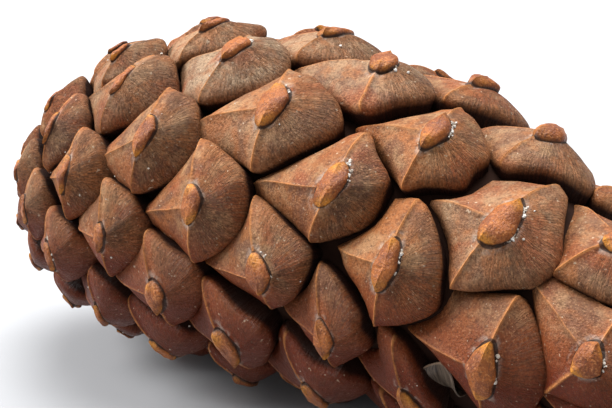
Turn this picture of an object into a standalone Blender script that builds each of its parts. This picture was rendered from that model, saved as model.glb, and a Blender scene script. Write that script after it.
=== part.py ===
"""A closed pine cone lying on its side, stalk end towards -X and tip towards +X.

The cone grew as one piece, so it is one solid: woody scales round a core, each
ending in a ridged shield with a raised knob. Lengths are in metres and angles in
degrees.
"""
import math
import random

import bmesh
import bpy
import numpy as np
from mathutils import Matrix, Vector

# The cone's overall form: a curved axis inside a spindle that the knobs reach.
WIDEST_RADIUS = 0.018
BASE_LENGTH = 0.0304
TIP_LENGTH = 0.0636
BASE_ROUNDNESS = 2.48
TIP_ROUNDNESS = 1.97
TIP_BLUNTNESS = 0.74
AXIS_DIP = 2.28
AXIS_BEND_PER_METRE = 3.13
AXIS_BEND_START = 0.0054
AXIS_BEND_TURN = 144.3

# The spiral that the scales grow in, and their size along it.
DIVERGENCE = 137.109
FIRST_SCALE_TURN = 67.8
FIRST_SCALE_PLACE = 0.0036
WIDEST_SPAN = 0.0117
GROWTH_MIDDLE = -43.0
GROWTH_WIDTH = 21.5
TIP_SHRINK_START = 0.041
TIP_SPAN_SHARE = 0.32
TIP_SHRINK_POWER = 0.85
LOWEST_SCALE = -66
NEIGHBOUR_STEPS = (1, 2, 3, 5, 8, 13, 21)

# A shield's outline: it meets each neighbour near the middle between their knobs,
# moved a little towards the stalk, as a knob sits nearer its shield's tip margin.
# The margin is rounder on the side of the tip.
OVERLAP = 0.01
KNOB_AHEAD = 0.12
GAP = 0.022
TIP_SHARPNESS = 14.0
BASAL_SHARPNESS = 40.0

# Where a shield's corners are looked for: at the stalk end, and how far they turn
# by the tip end, where the spirals that its sides follow change over.
RIGHT_CORNER = (5.0, -25.0)
TIP_CORNER = (118.0, -45.0)
LEFT_CORNER = (195.0, -25.0)
BASAL_CORNER = (-70.0, -30.0)
CORNER_WINDOW = 16.0
CORNER_STEPS = 8
TURNING_FIRST = 5.0
TURNING_LAST = 29.0

# Scales that sit off the even spiral: how far round the cone and towards the tip.
UNEVEN_PLACES = {
    -26: (-0.0006, 0.0006), -18: (0.0009, 0.0), -16: (-0.0006, -0.0010),
    -13: (0.0003, 0.0003), -11: (0.0, -0.0014), -10: (-0.0006, 0.0008),
    -8: (0.0002, -0.0004), -5: (0.0001, 0.0004), -3: (-0.0010, -0.0016),
    0: (0.0002, 0.0005), 2: (0.0003, -0.0018), 3: (-0.0007, 0.0006),
    5: (-0.0006, -0.0004), 8: (-0.0003, 0.0013), 10: (-0.0009, -0.0006),
    11: (-0.0012, 0.0004), 13: (-0.0003, 0.0012), 15: (0.0, -0.0007),
    16: (-0.0009, -0.0006), 18: (0.0001, 0.0011), 21: (-0.0007, -0.0008),
    23: (-0.0013, 0.0005), 24: (0.0, -0.0010), 26: (0.0, 0.0007),
    29: (0.0005, -0.0017), 31: (0.0014, 0.0018), 34: (0.0022, 0.0001),
    37: (0.0012, 0.0), 39: (0.0012, 0.0006), 42: (0.0010, 0.0),
}

# A shield's relief, as shares of its span or of its corners' distance.
KEEL_DROP = 0.15
BASAL_DROP = 0.20
BASAL_HOLLOW = 0.85
TIP_DROP = 0.14
TIP_CONVEXITY = 1.8
KEEL_SOFTNESS = 0.12
KNOB_LENGTH = 0.30
KNOB_WIDTH = 0.27
KNOB_HEIGHT = 0.055
KNOB_CROWN = 0.069
FIELD_SHARE = 0.70
SMALL_SCALE_SPAN = 0.0088
LIFT_LOW = -0.02
LIFT_HIGH = 0.05
SHIELD_SEED = 4200

# Points along each margin from one corner to the next.
LARGE_TIP_POINTS = 3
SMALL_TIP_POINTS = 2
BASAL_POINTS = 2

# Under the shields: tapered roots sunk into a core.
ROOT_DEPTH = 0.50
ROOT_END_DEPTH = 0.55
ROOT_SPREAD = 0.96
CORE_SIDES = 16
CORE_RINGS = 18
CORE_RADIUS_SHARE = 0.80
CORE_BASE_INSET = 0.0010
CORE_TIP_INSET = 0.0016

# The stub of stalk, and how far the lowest knobs are worn flat.
STALK_RADIUS = 0.0024
STALK_ROOT_RADIUS = 0.0036
STALK_LENGTH = 0.0030
STALK_SIDES = 10
FLAT_SPOT_DEPTH = 0.0006

WOOD_COLOUR = (0.23, 0.12, 0.065)
WOOD_ROUGHNESS = 0.62

# Steps of the spiral's table, and small allowances.
STATIONS = 600
STATION_START = 0.03
END_STATIONS = 12
ROUNDING = 0.000001
NORMAL_STEP = 0.00005
POLE = 0.9999


def clear_scene():
    """Remove every object that the file opened with."""
    for thing in list(bpy.data.objects):
        bpy.data.objects.remove(thing, do_unlink=True)


def new_collection(name):
    """Add a collection under the scene's own."""
    collection = bpy.data.collections.new(name)
    bpy.context.scene.collection.children.link(collection)
    return collection


def move_to(thing, collection):
    """Keep an object in one collection alone."""
    for owner in list(thing.users_collection):
        owner.objects.unlink(thing)
    collection.objects.link(thing)


def wood_material(name, colour, roughness):
    """Make a Principled material of one colour."""
    material = bpy.data.materials.new(name)
    material.use_nodes = True
    shader = material.node_tree.nodes["Principled BSDF"]
    shader.inputs["Base Color"].default_value = (*colour, 1.0)
    shader.inputs["Roughness"].default_value = roughness
    shader.inputs["Metallic"].default_value = 0.0
    return material


def spindle_radius(along):
    """Radius of the spindle that the knobs reach, at a place along the axis."""
    base_share = np.clip(-along / BASE_LENGTH, 0.0, POLE)
    tip_share = np.clip(along / TIP_LENGTH, 0.0, POLE)
    base = np.sqrt(1.0 - base_share ** BASE_ROUNDNESS)
    tip = (1.0 - tip_share ** TIP_ROUNDNESS) ** TIP_BLUNTNESS
    return WIDEST_RADIUS * np.where(along < 0.0, base, tip)


def scale_span(number, along):
    """Breadth of a scale: it grows from the stalk and shrinks at the tip."""
    grown = WIDEST_SPAN / (1.0 + math.exp((GROWTH_MIDDLE - number) / GROWTH_WIDTH))
    share = max(0.0, (along - TIP_SHRINK_START) / (TIP_LENGTH - TIP_SHRINK_START))
    return grown * (1.0 - (1.0 - TIP_SPAN_SHARE) * share ** TIP_SHRINK_POWER)


def spiral_places():
    """Number the spiral along the surface, so that each scale has its own area."""
    angles = np.linspace(STATION_START, math.pi - STATION_START, STATIONS)
    middle = (TIP_LENGTH - BASE_LENGTH) / 2.0
    along = middle - (TIP_LENGTH + BASE_LENGTH) / 2.0 * np.cos(angles)
    radius = spindle_radius(along)
    arc_steps = np.hypot(np.diff(along), np.diff(radius))
    arc = np.concatenate([[0.0], np.cumsum(arc_steps)])
    area = math.pi * (radius[1:] + radius[:-1]) * arc_steps
    number = np.zeros(STATIONS)
    start = int(np.searchsorted(along, FIRST_SCALE_PLACE))
    for i in range(start, STATIONS - 1):
        number[i + 1] = number[i] + area[i] / scale_span(number[i], along[i]) ** 2
    for i in range(start, 0, -1):
        number[i - 1] = number[i] - area[i - 1] / scale_span(number[i], along[i]) ** 2
    return number, along, arc


SPIRAL_NUMBER, SPIRAL_ALONG, SPIRAL_ARC = spiral_places()
HIGHEST_SCALE = int(SPIRAL_NUMBER[-1]) - 1


def arc_at(number):
    """Distance along the surface to a spiral number, carried on past both ends."""
    arc = float(np.interp(number, SPIRAL_NUMBER, SPIRAL_ARC))
    beyond_tip = max(0.0, number - SPIRAL_NUMBER[-1])
    beyond_base = max(0.0, SPIRAL_NUMBER[0] - number)
    tip_pace = float(SPIRAL_ARC[-1] - SPIRAL_ARC[-END_STATIONS])
    tip_pace /= float(SPIRAL_NUMBER[-1] - SPIRAL_NUMBER[-END_STATIONS])
    base_pace = float(SPIRAL_ARC[END_STATIONS])
    base_pace /= float(SPIRAL_NUMBER[END_STATIONS] - SPIRAL_NUMBER[0])
    return arc + beyond_tip * tip_pace - beyond_base * base_pace


def along_at(arc):
    """Place along the axis of a distance along the surface."""
    return float(np.interp(arc, SPIRAL_ARC, SPIRAL_ALONG))


def scale_place(number):
    """Turn of a scale's knob round the axis, and its distance along the surface."""
    round_shift, along_shift = UNEVEN_PLACES.get(number, (0.0, 0.0))
    arc = arc_at(number) + along_shift
    radius = float(spindle_radius(along_at(arc)))
    return math.radians(FIRST_SCALE_TURN + number * DIVERGENCE) + round_shift / radius, arc


def axis_point(along):
    """Point on the curved axis."""
    bend = AXIS_BEND_PER_METRE * (along - AXIS_BEND_START) ** 2
    turn = math.radians(AXIS_BEND_TURN)
    return Vector((along, -bend * math.sin(turn), bend * math.cos(turn)))


def spindle_point(turn, arc, height):
    """Point over the spindle's surface, at a turn and a distance along it."""
    along = along_at(arc)
    radius = float(spindle_radius(along))
    ahead = float(spindle_radius(along + NORMAL_STEP))
    behind = float(spindle_radius(along - NORMAL_STEP))
    slope = math.atan2(behind - ahead, 2.0 * NORMAL_STEP)
    outer_radius = max(0.0, radius + height * math.cos(slope))
    outward = Vector((0.0, -math.sin(turn), math.cos(turn)))
    return axis_point(along + height * math.sin(slope)) + outward * outer_radius


class Cell:
    """The patch of surface that one scale's shield covers, laid out flat.

    Flat places are pairs: distance round the cone and distance towards the tip,
    both from the scale's knob.
    """

    def __init__(self, number):
        self.turn, self.arc = scale_place(number)
        along = along_at(self.arc)
        self.radius = float(spindle_radius(along))
        self.span = scale_span(number, along)
        self.neighbours = []
        for step in NEIGHBOUR_STEPS:
            self.add_neighbour(number, step, 0.5 + OVERLAP)
            self.add_neighbour(number, -step, 0.5 - OVERLAP)
        turning = min(max((number - TURNING_FIRST) / (TURNING_LAST - TURNING_FIRST), 0.0), 1.0)
        self.right = self.corner(RIGHT_CORNER, turning)
        self.tip = self.corner(TIP_CORNER, turning)
        self.left = self.corner(LEFT_CORNER, turning)
        self.basal = self.corner(BASAL_CORNER, turning)

    def add_neighbour(self, number, step, share):
        """Note where the margin towards one neighbour lies."""
        turn, arc = scale_place(number + step)
        turn = (turn - self.turn + math.pi) % (2.0 * math.pi) - math.pi
        away = Vector((turn * self.radius, arc - self.arc))
        limit = share * away.length_squared - KNOB_AHEAD * self.span * away.y
        self.neighbours.append((away, limit))

    def margin(self, angle):
        """Point of the outline in one direction."""
        direction = Vector((math.cos(angle), math.sin(angle)))
        sharpness = TIP_SHARPNESS if math.sin(angle) > 0.0 else BASAL_SHARPNESS
        total = 0.0
        for away, limit in self.neighbours:
            total += (max(0.0, away.dot(direction)) / limit) ** sharpness
        return direction * (1.0 - GAP) * total ** (-1.0 / sharpness)

    def corner(self, place, turning):
        """Corner that the outline has on one side: where it reaches furthest."""
        middle = place[0] + place[1] * turning
        points = []
        for step in range(-CORNER_STEPS, CORNER_STEPS + 1):
            points.append(self.margin(math.radians(middle + CORNER_WINDOW * step / CORNER_STEPS)))
        return max(points, key=lambda point: point.length)

    def shares(self, point):
        """Split a flat place into shares of a side corner and of an end corner."""
        for side in (self.right, self.left):
            for end in (self.tip, self.basal):
                area = side.cross(end)
                across = point.cross(end) / area
                up = side.cross(point) / area
                if across > -ROUNDING and up > -ROUNDING:
                    return across, up if end is self.tip else -up
        return 0.0, 0.0

    def lift_off(self, point, height):
        """Point of the cone at a flat place and a height, a share of the span."""
        arc = min(max(self.arc + point.y, SPIRAL_ARC[0]), SPIRAL_ARC[-1])
        return spindle_point(self.turn + point.x / self.radius, arc, height * self.span)


def shield_height(across, up):
    """Height of a shield, as a share of its span.

    A keel runs from side to side. The basal half falls away in two facets, and
    the half towards the tip is domed.
    """
    if up < 0.0:
        return -KEEL_DROP * abs(across) - BASAL_DROP * (-up) ** BASAL_HOLLOW
    soft = math.hypot(across, KEEL_SOFTNESS) - KEEL_SOFTNESS
    return -KEEL_DROP * soft - TIP_DROP * up ** TIP_CONVEXITY


def between(first, last, count):
    """Directions from one corner towards the next, without the next."""
    start = math.atan2(first.y, first.x)
    sweep = (math.atan2(last.y, last.x) - start) % (2.0 * math.pi)
    return [start + sweep * i / count for i in range(count)]


def ring_directions(cell, tip_points):
    """Directions round a shield, with one at each corner."""
    directions = between(cell.right, cell.tip, tip_points)
    directions += between(cell.tip, cell.left, tip_points)
    directions += between(cell.left, cell.basal, BASAL_POINTS)
    directions += between(cell.basal, cell.right, BASAL_POINTS)
    return directions


def knob_point(cell, direction, lift):
    """Point of the knob's rim."""
    away = cell.margin(direction)
    across, up = cell.shares(away)
    size = 1.0 / math.hypot(across / KNOB_LENGTH, up / KNOB_WIDTH)
    height = shield_height(across * size, up * size) + KNOB_HEIGHT + lift * up * size
    return cell.lift_off(away * size, height)


def field_point(cell, direction, share, lift):
    """Point of the shield, at a share of the way to its margin."""
    away = cell.margin(direction) * share
    across, up = cell.shares(away)
    return cell.lift_off(away, shield_height(across, up) + lift * up)


def root_point(cell, direction):
    """Point of the root, under the shield's margin."""
    return cell.lift_off(cell.margin(direction) * ROOT_SPREAD, -ROOT_DEPTH)


def scale_rings(cell, lift):
    """Rings of a scale from its knob down to its root."""
    large = cell.span > SMALL_SCALE_SPAN
    directions = ring_directions(cell, LARGE_TIP_POINTS if large else SMALL_TIP_POINTS)
    rings = [[knob_point(cell, direction, lift) for direction in directions]]
    if large:
        rings.append([field_point(cell, direction, FIELD_SHARE, lift) for direction in directions])
    rings.append([field_point(cell, direction, 1.0, lift) for direction in directions])
    rings.append([root_point(cell, direction) for direction in directions])
    return rings


def make_scale(number, collection):
    """Make one scale from a sphere whose rings take the shield's form."""
    cell = Cell(number)
    lift = random.Random(SHIELD_SEED + number).uniform(LIFT_LOW, LIFT_HIGH)
    rings = scale_rings(cell, lift)
    levels = len(rings) + 1
    sides = len(rings[0])
    shape = bmesh.new()
    bmesh.ops.create_uvsphere(shape, u_segments=sides, v_segments=levels, radius=1.0)
    for vertex in shape.verts:
        level = round(math.acos(max(-1.0, min(1.0, vertex.co.z))) * levels / math.pi)
        around = round(math.atan2(vertex.co.y, vertex.co.x) * sides / (2.0 * math.pi)) % sides
        if level == 0:
            vertex.co = cell.lift_off(Vector((0.0, 0.0)), KNOB_CROWN)
        elif level == levels:
            vertex.co = cell.lift_off(Vector((0.0, 0.0)), -ROOT_END_DEPTH)
        else:
            vertex.co = rings[level - 1][around]
    shape.normal_update()
    bmesh.ops.recalc_face_normals(shape, faces=shape.faces)
    mesh = bpy.data.meshes.new("scale")
    shape.to_mesh(mesh)
    shape.free()
    scale = bpy.data.objects.new("scale", mesh)
    collection.objects.link(scale)
    return scale


def make_core(collection):
    """Make the core that every scale grows from, out of a sphere."""
    shape = bmesh.new()
    bmesh.ops.create_uvsphere(shape, u_segments=CORE_SIDES, v_segments=CORE_RINGS, radius=1.0)
    for vertex in shape.verts:
        length = BASE_LENGTH if vertex.co.z < 0.0 else TIP_LENGTH
        inset = CORE_BASE_INSET if vertex.co.z < 0.0 else CORE_TIP_INSET
        angle = math.asin(max(-1.0, min(1.0, vertex.co.z)))
        radius = float(spindle_radius(length * math.sin(angle))) * CORE_RADIUS_SHARE
        around = math.atan2(vertex.co.y, vertex.co.x)
        outward = Vector((0.0, math.sin(around), math.cos(around)))
        at_pole = abs(vertex.co.z) > POLE
        centre = axis_point((length - inset) * math.sin(angle))
        vertex.co = centre if at_pole else centre + outward * radius
    shape.normal_update()
    bmesh.ops.recalc_face_normals(shape, faces=shape.faces)
    mesh = bpy.data.meshes.new("cone")
    shape.to_mesh(mesh)
    shape.free()
    core = bpy.data.objects.new("cone", mesh)
    collection.objects.link(core)
    return core


def make_stalk(collection):
    """Make the stub of stalk that the cone broke off with."""
    bpy.ops.mesh.primitive_cone_add(
        vertices=STALK_SIDES, radius1=STALK_RADIUS, radius2=STALK_ROOT_RADIUS,
        depth=2.0 * STALK_LENGTH, location=axis_point(-BASE_LENGTH),
        rotation=(0.0, math.radians(90.0), 0.0))
    stalk = bpy.context.object
    move_to(stalk, collection)
    return stalk


def apply_modifiers(thing):
    """Give an object the mesh that its modifiers make."""
    graph = bpy.context.evaluated_depsgraph_get()
    thing.data = bpy.data.meshes.new_from_object(thing.evaluated_get(graph))
    thing.modifiers.clear()


def fuse(core, growth):
    """Join the core and all that grows from it into one solid."""
    union = core.modifiers.new("growth", "BOOLEAN")
    union.operation = "UNION"
    union.operand_type = "COLLECTION"
    union.collection = growth
    union.solver = "MANIFOLD"
    apply_modifiers(core)
    for thing in list(growth.objects):
        bpy.data.objects.remove(thing, do_unlink=True)
    bpy.data.collections.remove(growth)


def lay_down(thing):
    """Tip the cone to its resting attitude, with its lowest knobs just under the surface."""
    dip = Matrix.Rotation(math.radians(AXIS_DIP), 4, "Y")
    thing.data.transform(dip)
    corners = np.array([vertex.co for vertex in thing.data.vertices])
    low = corners.min(axis=0)
    high = corners.max(axis=0)
    middle = (low + high) / 2.0
    shift = Matrix.Translation((-middle[0], -middle[1], -low[2] - FLAT_SPOT_DEPTH))
    thing.data.transform(shift)


def flatten_spots(thing):
    """Wear the lowest knobs flat at the surface that the cone lies on."""
    size = 4.0 * TIP_LENGTH
    bpy.ops.mesh.primitive_cube_add(size=size, location=(0.0, 0.0, -size / 2.0))
    cutter = bpy.context.object
    cut = thing.modifiers.new("surface", "BOOLEAN")
    cut.operation = "DIFFERENCE"
    cut.object = cutter
    cut.solver = "MANIFOLD"
    apply_modifiers(thing)
    bpy.data.objects.remove(cutter, do_unlink=True)


def build_cone():
    """Build the cone: core, stalk stub and scales, fused and laid down."""
    cone_parts = new_collection("pine_cone")
    growth = new_collection("growth")
    cone = make_core(cone_parts)
    make_stalk(growth)
    for number in range(LOWEST_SCALE, HIGHEST_SCALE + 1):
        make_scale(number, growth)
    fuse(cone, growth)
    lay_down(cone)
    flatten_spots(cone)
    cone.data.materials.append(wood_material("scale_wood", WOOD_COLOUR, WOOD_ROUGHNESS))


clear_scene()
build_cone()
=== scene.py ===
import math
import random

import bpy
import numpy as np
from mathutils import Matrix, Vector, noise


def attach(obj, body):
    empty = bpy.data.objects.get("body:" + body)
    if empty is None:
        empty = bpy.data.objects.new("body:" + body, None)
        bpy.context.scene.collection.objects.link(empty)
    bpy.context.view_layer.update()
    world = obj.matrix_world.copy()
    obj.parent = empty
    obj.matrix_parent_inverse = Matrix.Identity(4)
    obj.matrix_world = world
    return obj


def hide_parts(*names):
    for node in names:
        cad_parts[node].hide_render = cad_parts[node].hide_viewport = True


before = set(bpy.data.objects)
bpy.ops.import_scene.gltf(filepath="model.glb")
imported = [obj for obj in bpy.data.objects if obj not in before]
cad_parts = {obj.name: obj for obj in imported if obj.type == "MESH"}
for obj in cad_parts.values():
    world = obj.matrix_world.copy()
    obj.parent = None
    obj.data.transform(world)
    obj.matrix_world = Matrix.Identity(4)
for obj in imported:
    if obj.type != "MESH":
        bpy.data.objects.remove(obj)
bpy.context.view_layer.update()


# The core. A closed cone has a woody axis that every scale grows from. Its near-black colour is
# painted shade at the bottom of the gaps between the shields; at the tip it shows as the bud.

# The knobs reach a spindle: its greatest radius, and its length and fullness each way.
WIDEST_RADIUS = 0.018
BASE_LENGTH = 0.0304
TIP_LENGTH = 0.0636
BASE_FULLNESS = 2.48
TIP_FULLNESS = 1.97
TIP_SLIMNESS = 0.74

# The core stays inside that spindle.
CORE_SHARE = 0.76
CORE_BASE_INSET = 0.0012
CORE_TIP_INSET = 0.0018

# How fast the axis curves away, from which place along it and to which side, how far it
# dips towards the tip, in degrees, and where its widest place lies.
AXIS_BEND = 3.13
BEND_MIDDLE = 0.0054
BEND_TURN = 144.3
AXIS_DIP = 2.28
PLACE = Vector((-0.0145786, 0.0001274, 0.0179956))


def spindle_radius(along):
    """Radius that the knobs reach, at places along the axis."""
    base_share = np.clip(-along / BASE_LENGTH, 0.0, 0.9999)
    tip_share = np.clip(along / TIP_LENGTH, 0.0, 0.9999)
    base = np.sqrt(1.0 - base_share ** BASE_FULLNESS)
    tip = (1.0 - tip_share ** TIP_FULLNESS) ** TIP_SLIMNESS
    return WIDEST_RADIUS * np.where(along < 0.0, base, tip)


def axis_points(along):
    """Points of the cone's slightly bent axis."""
    bend = AXIS_BEND * (along - BEND_MIDDLE) ** 2
    turn = math.radians(BEND_TURN)
    return np.stack([along, -bend * math.sin(turn), bend * math.cos(turn)], axis=-1)


def lay_down(points):
    """Bring points from the cone's own frame to where it lies."""
    dip = np.array(Matrix.Rotation(math.radians(AXIS_DIP), 3, "Y"))
    return points @ dip.T + np.array(PLACE)


def set_points(piece, points):
    """Move a mesh's vertices."""
    piece.data.vertices.foreach_set("co", np.asarray(points, dtype=np.float32).ravel())
    piece.data.update()


def get_points(piece):
    """Read a mesh's vertices."""
    points = np.zeros(len(piece.data.vertices) * 3, dtype=np.float32)
    piece.data.vertices.foreach_get("co", points)
    return points.reshape(-1, 3).astype(float)


def new_material(name):
    """Start a material and give its nodes, links and shader."""
    material = bpy.data.materials.new(name)
    material.use_nodes = True
    tree = material.node_tree
    return material, tree, tree.nodes["Principled BSDF"]


def add_node(tree, kind, inputs=None, **settings):
    """Add a node, set its options, and link or set its inputs."""
    node = tree.nodes.new(kind)
    for name, value in settings.items():
        setattr(node, name, value)
    for name, value in (inputs or {}).items():
        if isinstance(value, bpy.types.NodeSocket):
            tree.links.new(value, node.inputs[name])
        else:
            node.inputs[name].default_value = value
    return node


def noise_of(tree, vector, scale, detail=3.0, roughness=0.6, distortion=0.0):
    """Noise from 0 to 1 over a vector."""
    node = add_node(tree, "ShaderNodeTexNoise", {
        "Vector": vector, "Scale": scale, "Detail": detail,
        "Roughness": roughness, "Distortion": distortion})
    return node.outputs["Fac"]


def ramp_of(tree, value, low, high, start=0.0, end=1.0):
    """Value taken smoothly from one range to another."""
    node = add_node(tree, "ShaderNodeMapRange", {
        "Value": value, "From Min": low, "From Max": high, "To Min": start, "To Max": end},
        interpolation_type="SMOOTHSTEP")
    return node.outputs["Result"]


def combine(tree, operation, first, second):
    """Arithmetic on two values."""
    node = add_node(tree, "ShaderNodeMath", {0: first, 1: second}, operation=operation)
    return node.outputs[0]


def blend_of(tree, amount, first, second):
    """Mix two colours."""
    node = add_node(tree, "ShaderNodeMix", {0: amount, 6: first, 7: second}, data_type="RGBA")
    return node.outputs[2]


def attribute_of(tree, name):
    """A vector that was kept with the vertices."""
    return add_node(tree, "ShaderNodeAttribute", attribute_name=name).outputs["Vector"]


def parts_of(tree, vector):
    """The three numbers of a vector."""
    return add_node(tree, "ShaderNodeSeparateXYZ", {0: vector}).outputs


def add_relief(tree, shader, height, strength, distance):
    """Let a value stand out of the surface."""
    bump = add_node(tree, "ShaderNodeBump", {"Height": height, "Strength": strength, "Distance": distance})
    tree.links.new(bump.outputs[0], shader.inputs["Normal"])


bpy.ops.object.select_all(action="DESELECT")
bpy.ops.mesh.primitive_uv_sphere_add(segments=48, ring_count=40, radius=1.0)
core = bpy.context.object
core.name = "core"
core.data.name = "core"
sphere = get_points(core)
core_height = np.arcsin(np.clip(sphere[:, 2], -1.0, 1.0))
core_length = np.where(sphere[:, 2] < 0.0, BASE_LENGTH - CORE_BASE_INSET, TIP_LENGTH - CORE_TIP_INSET)
core_along = core_length * np.sin(core_height)
core_radius = spindle_radius(core_along) * CORE_SHARE
core_radius[np.abs(sphere[:, 2]) > 0.9999] = 0.0
core_turn = np.arctan2(sphere[:, 1], sphere[:, 0])
core_out = np.stack([0.0 * core_turn, np.sin(core_turn), np.cos(core_turn)], axis=-1)
set_points(core, lay_down(axis_points(core_along) + core_out * core_radius[:, None]))
bpy.ops.object.mode_set(mode="EDIT")
bpy.ops.mesh.select_all(action="SELECT")
bpy.ops.mesh.normals_make_consistent(inside=False)
bpy.ops.object.mode_set(mode="OBJECT")
bpy.ops.object.shade_smooth()

core_wood, tree, shader = new_material("core_wood")
place = add_node(tree, "ShaderNodeTexCoord").outputs["Object"]
grain = noise_of(tree, place, scale=700.0)
# Painted shade: the axis is coloured near black so that it reads as the shade deep in the gaps.
shaded_core_colour = blend_of(tree, grain, (0.012, 0.005, 0.003, 1.0), (0.030, 0.012, 0.007, 1.0))
along = parts_of(tree, place)["X"]
bud_grain = ramp_of(tree, grain, 0.40, 0.60)
bud_colour = blend_of(tree, bud_grain, (0.075, 0.026, 0.012, 1.0), (0.230, 0.095, 0.038, 1.0))
at_bud = ramp_of(tree, along, 0.0425, 0.0445)
shaded_core_colour = blend_of(tree, at_bud, shaded_core_colour, bud_colour)
tree.links.new(shaded_core_colour, shader.inputs["Base Color"])
shader.inputs["Roughness"].default_value = 0.9
shader.inputs["Specular IOR Level"].default_value = 0.1
core.data.materials.append(core_wood)
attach(core, "root")


# The scales. Each is a hard woody bract, grown in spirals from the stalk to the tip.
# Its end thickens to a four-cornered shield: a keel crosses it from side to side, a
# low ridge runs down to its pointed corner, and the field towards the tip is domed.

# The spiral: the turn from one scale to the next and of scale 0, in degrees, and where
# scale 0 lies along the axis.
DIVERGENCE = 137.109
FIRST_TURN = 67.8
FIRST_ALONG = 0.0036
STATIONS = 600

# The span of a full scale, and how scales grow from the stalk and shrink at the tip.
FULL_SPAN = 0.0117
HALF_GROWN = -43.0
GROWTH_PACE = 21.5
SHRINK_START = 0.041
SHRINK_AMOUNT = 0.68
SHRINK_POWER = 0.85


def scale_span(number, along):
    """Breadth of a scale: it grows from the stalk and shrinks at the tip."""
    grown = FULL_SPAN / (1.0 + math.exp((HALF_GROWN - number) / GROWTH_PACE))
    share = max(0.0, (along - SHRINK_START) / (TIP_LENGTH - SHRINK_START))
    return grown * (1.0 - SHRINK_AMOUNT * share ** SHRINK_POWER)


def spiral_places():
    """Number the spiral along the surface, so that each scale has its own area."""
    angles = np.linspace(0.03, math.pi - 0.03, STATIONS)
    middle = (TIP_LENGTH - BASE_LENGTH) / 2.0
    along = middle - (TIP_LENGTH + BASE_LENGTH) / 2.0 * np.cos(angles)
    radius = spindle_radius(along)
    steps = np.hypot(np.diff(along), np.diff(radius))
    arc = np.concatenate([[0.0], np.cumsum(steps)])
    area = math.pi * (radius[1:] + radius[:-1]) * steps
    number = np.zeros(STATIONS)
    start = int(np.searchsorted(along, FIRST_ALONG))
    for i in range(start, STATIONS - 1):
        number[i + 1] = number[i] + area[i] / scale_span(number[i], along[i]) ** 2
    for i in range(start, 0, -1):
        number[i - 1] = number[i] - area[i - 1] / scale_span(number[i], along[i]) ** 2
    return number, along, arc


SPIRAL_NUMBER, SPIRAL_ALONG, SPIRAL_ARC = spiral_places()
SCALES = range(-66, int(SPIRAL_NUMBER[-1]))


def arc_at(number):
    """Distance along the surface to a spiral number, carried on past both ends."""
    arc = float(np.interp(number, SPIRAL_NUMBER, SPIRAL_ARC))
    tip_pace = (SPIRAL_ARC[-1] - SPIRAL_ARC[-12]) / (SPIRAL_NUMBER[-1] - SPIRAL_NUMBER[-12])
    base_pace = SPIRAL_ARC[12] / (SPIRAL_NUMBER[12] - SPIRAL_NUMBER[0])
    arc += max(0.0, number - SPIRAL_NUMBER[-1]) * tip_pace
    return arc - max(0.0, SPIRAL_NUMBER[0] - number) * base_pace


# Knobs out of line with the spiral, by the scale's number: how far each is moved round
# the cone and towards the tip.
UNEVEN_PLACES = {
    -26: (-0.0006, 0.0006), -18: (0.0009, 0.0), -16: (-0.0006, -0.0010),
    -13: (0.0003, 0.0003), -11: (0.0, -0.0014), -10: (-0.0006, 0.0008),
    -8: (0.0002, -0.0004), -5: (0.0001, 0.0004), -3: (-0.0010, -0.0016),
    0: (0.0002, 0.0005), 2: (0.0003, -0.0018), 3: (-0.0007, 0.0006),
    5: (-0.0006, -0.0004), 8: (-0.0003, 0.0013), 10: (-0.0009, -0.0006),
    11: (-0.0012, 0.0004), 13: (-0.0003, 0.0012), 15: (0.0, -0.0007),
    16: (-0.0009, -0.0006), 18: (0.0001, 0.0011), 21: (-0.0007, -0.0008),
    23: (-0.0013, 0.0005), 24: (-0.0004, -0.0028), 26: (0.0, 0.0007),
    29: (0.0005, -0.0017), 31: (0.0014, 0.0018), 34: (0.0022, 0.0001),
    37: (0.0012, 0.0), 39: (0.0012, 0.0006), 42: (0.0010, 0.0),
}


def scale_place(number):
    """Turn of a scale's knob round the axis, and its distance along the surface."""
    round_shift, along_shift = UNEVEN_PLACES.get(number, (0.0, 0.0))
    arc = arc_at(number) + along_shift
    radius = float(spindle_radius(np.interp(arc, SPIRAL_ARC, SPIRAL_ALONG)))
    return math.radians(FIRST_TURN + number * DIVERGENCE) + round_shift / radius, arc


# Where shields meet out of line with the spiral: turn and arc of a place, and how far it
# is moved round the cone and towards the tip.
UNEVEN_BORDERS = np.array([
    (1.564, 0.0437, -0.0001, 0.0004),
    (0.407, 0.0538, -0.0007, 0.0019),
    (1.240, 0.0568, -0.0002, 0.0004),
    (0.142, 0.0688, 0.0020, -0.0015),
    (0.689, 0.0649, -0.0008, -0.0009),
    (0.049, 0.0721, -0.0032, 0.0015),
    (0.805, 0.0789, -0.0005, -0.0011),
    (1.071, 0.0711, 0.0009, -0.0014),
    (1.582, 0.0649, -0.0003, -0.0019),
    (1.794, 0.0511, -0.0010, 0.0011),
    (1.026, 0.0764, -0.0016, 0.0004),
    (1.788, 0.0805, -0.0009, -0.0011),
    (2.116, 0.0596, -0.0016, -0.0004),
    (1.461, 0.0516, 0.0001, -0.0001),
])
BORDER_REACH = 0.0036


def wrapped(angle):
    """Angle brought to between minus and plus half a turn."""
    return (angle + math.pi) % (2.0 * math.pi) - math.pi


def uneven_border(turn, arc, radius):
    """Moves of places on the surface, round the cone and towards the tip."""
    turned = wrapped(turn[:, None] - UNEVEN_BORDERS[:, 0])
    apart = ((turned * radius) ** 2 + (arc[:, None] - UNEVEN_BORDERS[:, 1]) ** 2) / BORDER_REACH ** 2
    return np.exp(-apart) @ UNEVEN_BORDERS[:, 2:]


def cross(first, second):
    """Cross product of flat vectors."""
    return first[..., 0] * second[..., 1] - first[..., 1] * second[..., 0]


def part_way(number, start, end):
    """Share of the way from one spiral number to another, from 0 to 1."""
    return min(max((number - start) / (end - start), 0.0), 1.0)


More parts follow.
